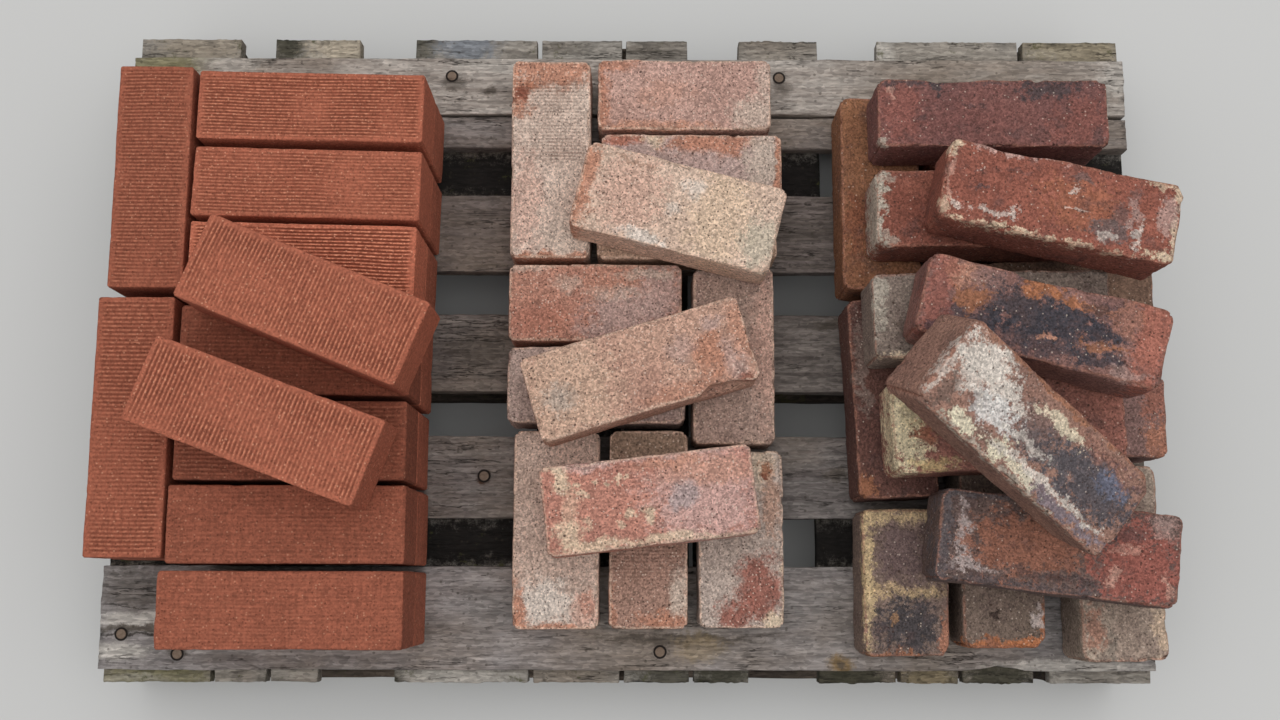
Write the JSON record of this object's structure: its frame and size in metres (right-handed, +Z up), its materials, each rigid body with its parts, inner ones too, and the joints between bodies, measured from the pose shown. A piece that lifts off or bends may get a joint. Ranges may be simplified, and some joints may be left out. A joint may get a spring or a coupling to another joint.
{
  "type": "pallet of bricks",
  "caption": "Weathered wooden pallet carrying three low stacks of reclaimed and combed clay bricks, with a few laid loose and skew on top.",
  "frame": {"origin": "middle of the pallet's underside, on the floor", "axes": "+X along the deck boards towards the stack with the leaning brick, +Y across the boards to the far side, +Z up"},
  "size_m": [1.2, 0.776, 0.4814],
  "materials": {
    "deck_wood": "weathered grey softwood, sawn",
    "cross_wood": "weathered grey softwood, mossy in places",
    "base_wood": "damp, dirty softwood",
    "combed_brick": "fired clay, combed, matt",
    "speckled_brick": "fired clay, speckled with dark grog, matt",
    "reclaimed_brick": "fired clay, sooty, with lime mortar stains, matt"
  },
  "bodies": {
    "root": {"blocks_far": "base_wood", "blocks_middle": "base_wood", "blocks_near": "base_wood", "bottom_board_far": "base_wood", "bottom_board_middle": "base_wood", "bottom_board_near": "base_wood", "cross_board_centre_1": "cross_wood", "cross_board_centre_2": "cross_wood", "cross_board_left": "cross_wood", "cross_board_right": "cross_wood", "deck_board_1": "deck_wood", "deck_board_2": "deck_wood", "deck_board_3": "deck_wood", "deck_board_4": "deck_wood", "deck_board_5": "deck_wood", "deck_board_6": "deck_wood", "edge_boards_far": "cross_wood", "edge_boards_near": "cross_wood", "left_loose_brick_1": "combed_brick", "left_loose_brick_2": "combed_brick", "left_lower_bricks": "combed_brick", "left_upper_brick_1": "combed_brick", "left_upper_brick_2": "combed_brick", "left_upper_brick_3": "combed_brick", "left_upper_brick_4": "combed_brick", "left_upper_brick_5": "combed_brick", "left_upper_brick_6": "combed_brick", "left_upper_brick_7": "combed_brick", "left_upper_brick_8": "combed_brick", "left_upper_brick_9": "combed_brick", "middle_brick_1": "speckled_brick", "middle_brick_10": "speckled_brick", "middle_brick_2": "speckled_brick", "middle_brick_3": "speckled_brick", "middle_brick_4": "speckled_brick", "middle_brick_5": "speckled_brick", "middle_brick_6": "speckled_brick", "middle_brick_7": "speckled_brick", "middle_brick_8": "speckled_brick", "middle_brick_9": "speckled_brick", "middle_loose_brick_1": "speckled_brick", "middle_loose_brick_2": "speckled_brick", "middle_loose_brick_3": "speckled_brick", "right_leaning_brick": "reclaimed_brick", "right_loose_brick_1": "reclaimed_brick", "right_loose_brick_2": "reclaimed_brick", "right_lower_brick_1": "reclaimed_brick", "right_lower_brick_2": "reclaimed_brick", "right_lower_brick_3": "reclaimed_brick", "right_lower_brick_4": "reclaimed_brick", "right_lower_brick_5": "reclaimed_brick", "right_lower_brick_6": "reclaimed_brick", "right_lower_brick_7": "reclaimed_brick", "right_lower_hidden_bricks": "reclaimed_brick", "right_upper_brick_1": "reclaimed_brick", "right_upper_brick_2": "reclaimed_brick", "right_upper_brick_3": "reclaimed_brick", "right_upper_brick_4": "reclaimed_brick", "right_upper_brick_5": "reclaimed_brick"}
  },
  "joints": []
}
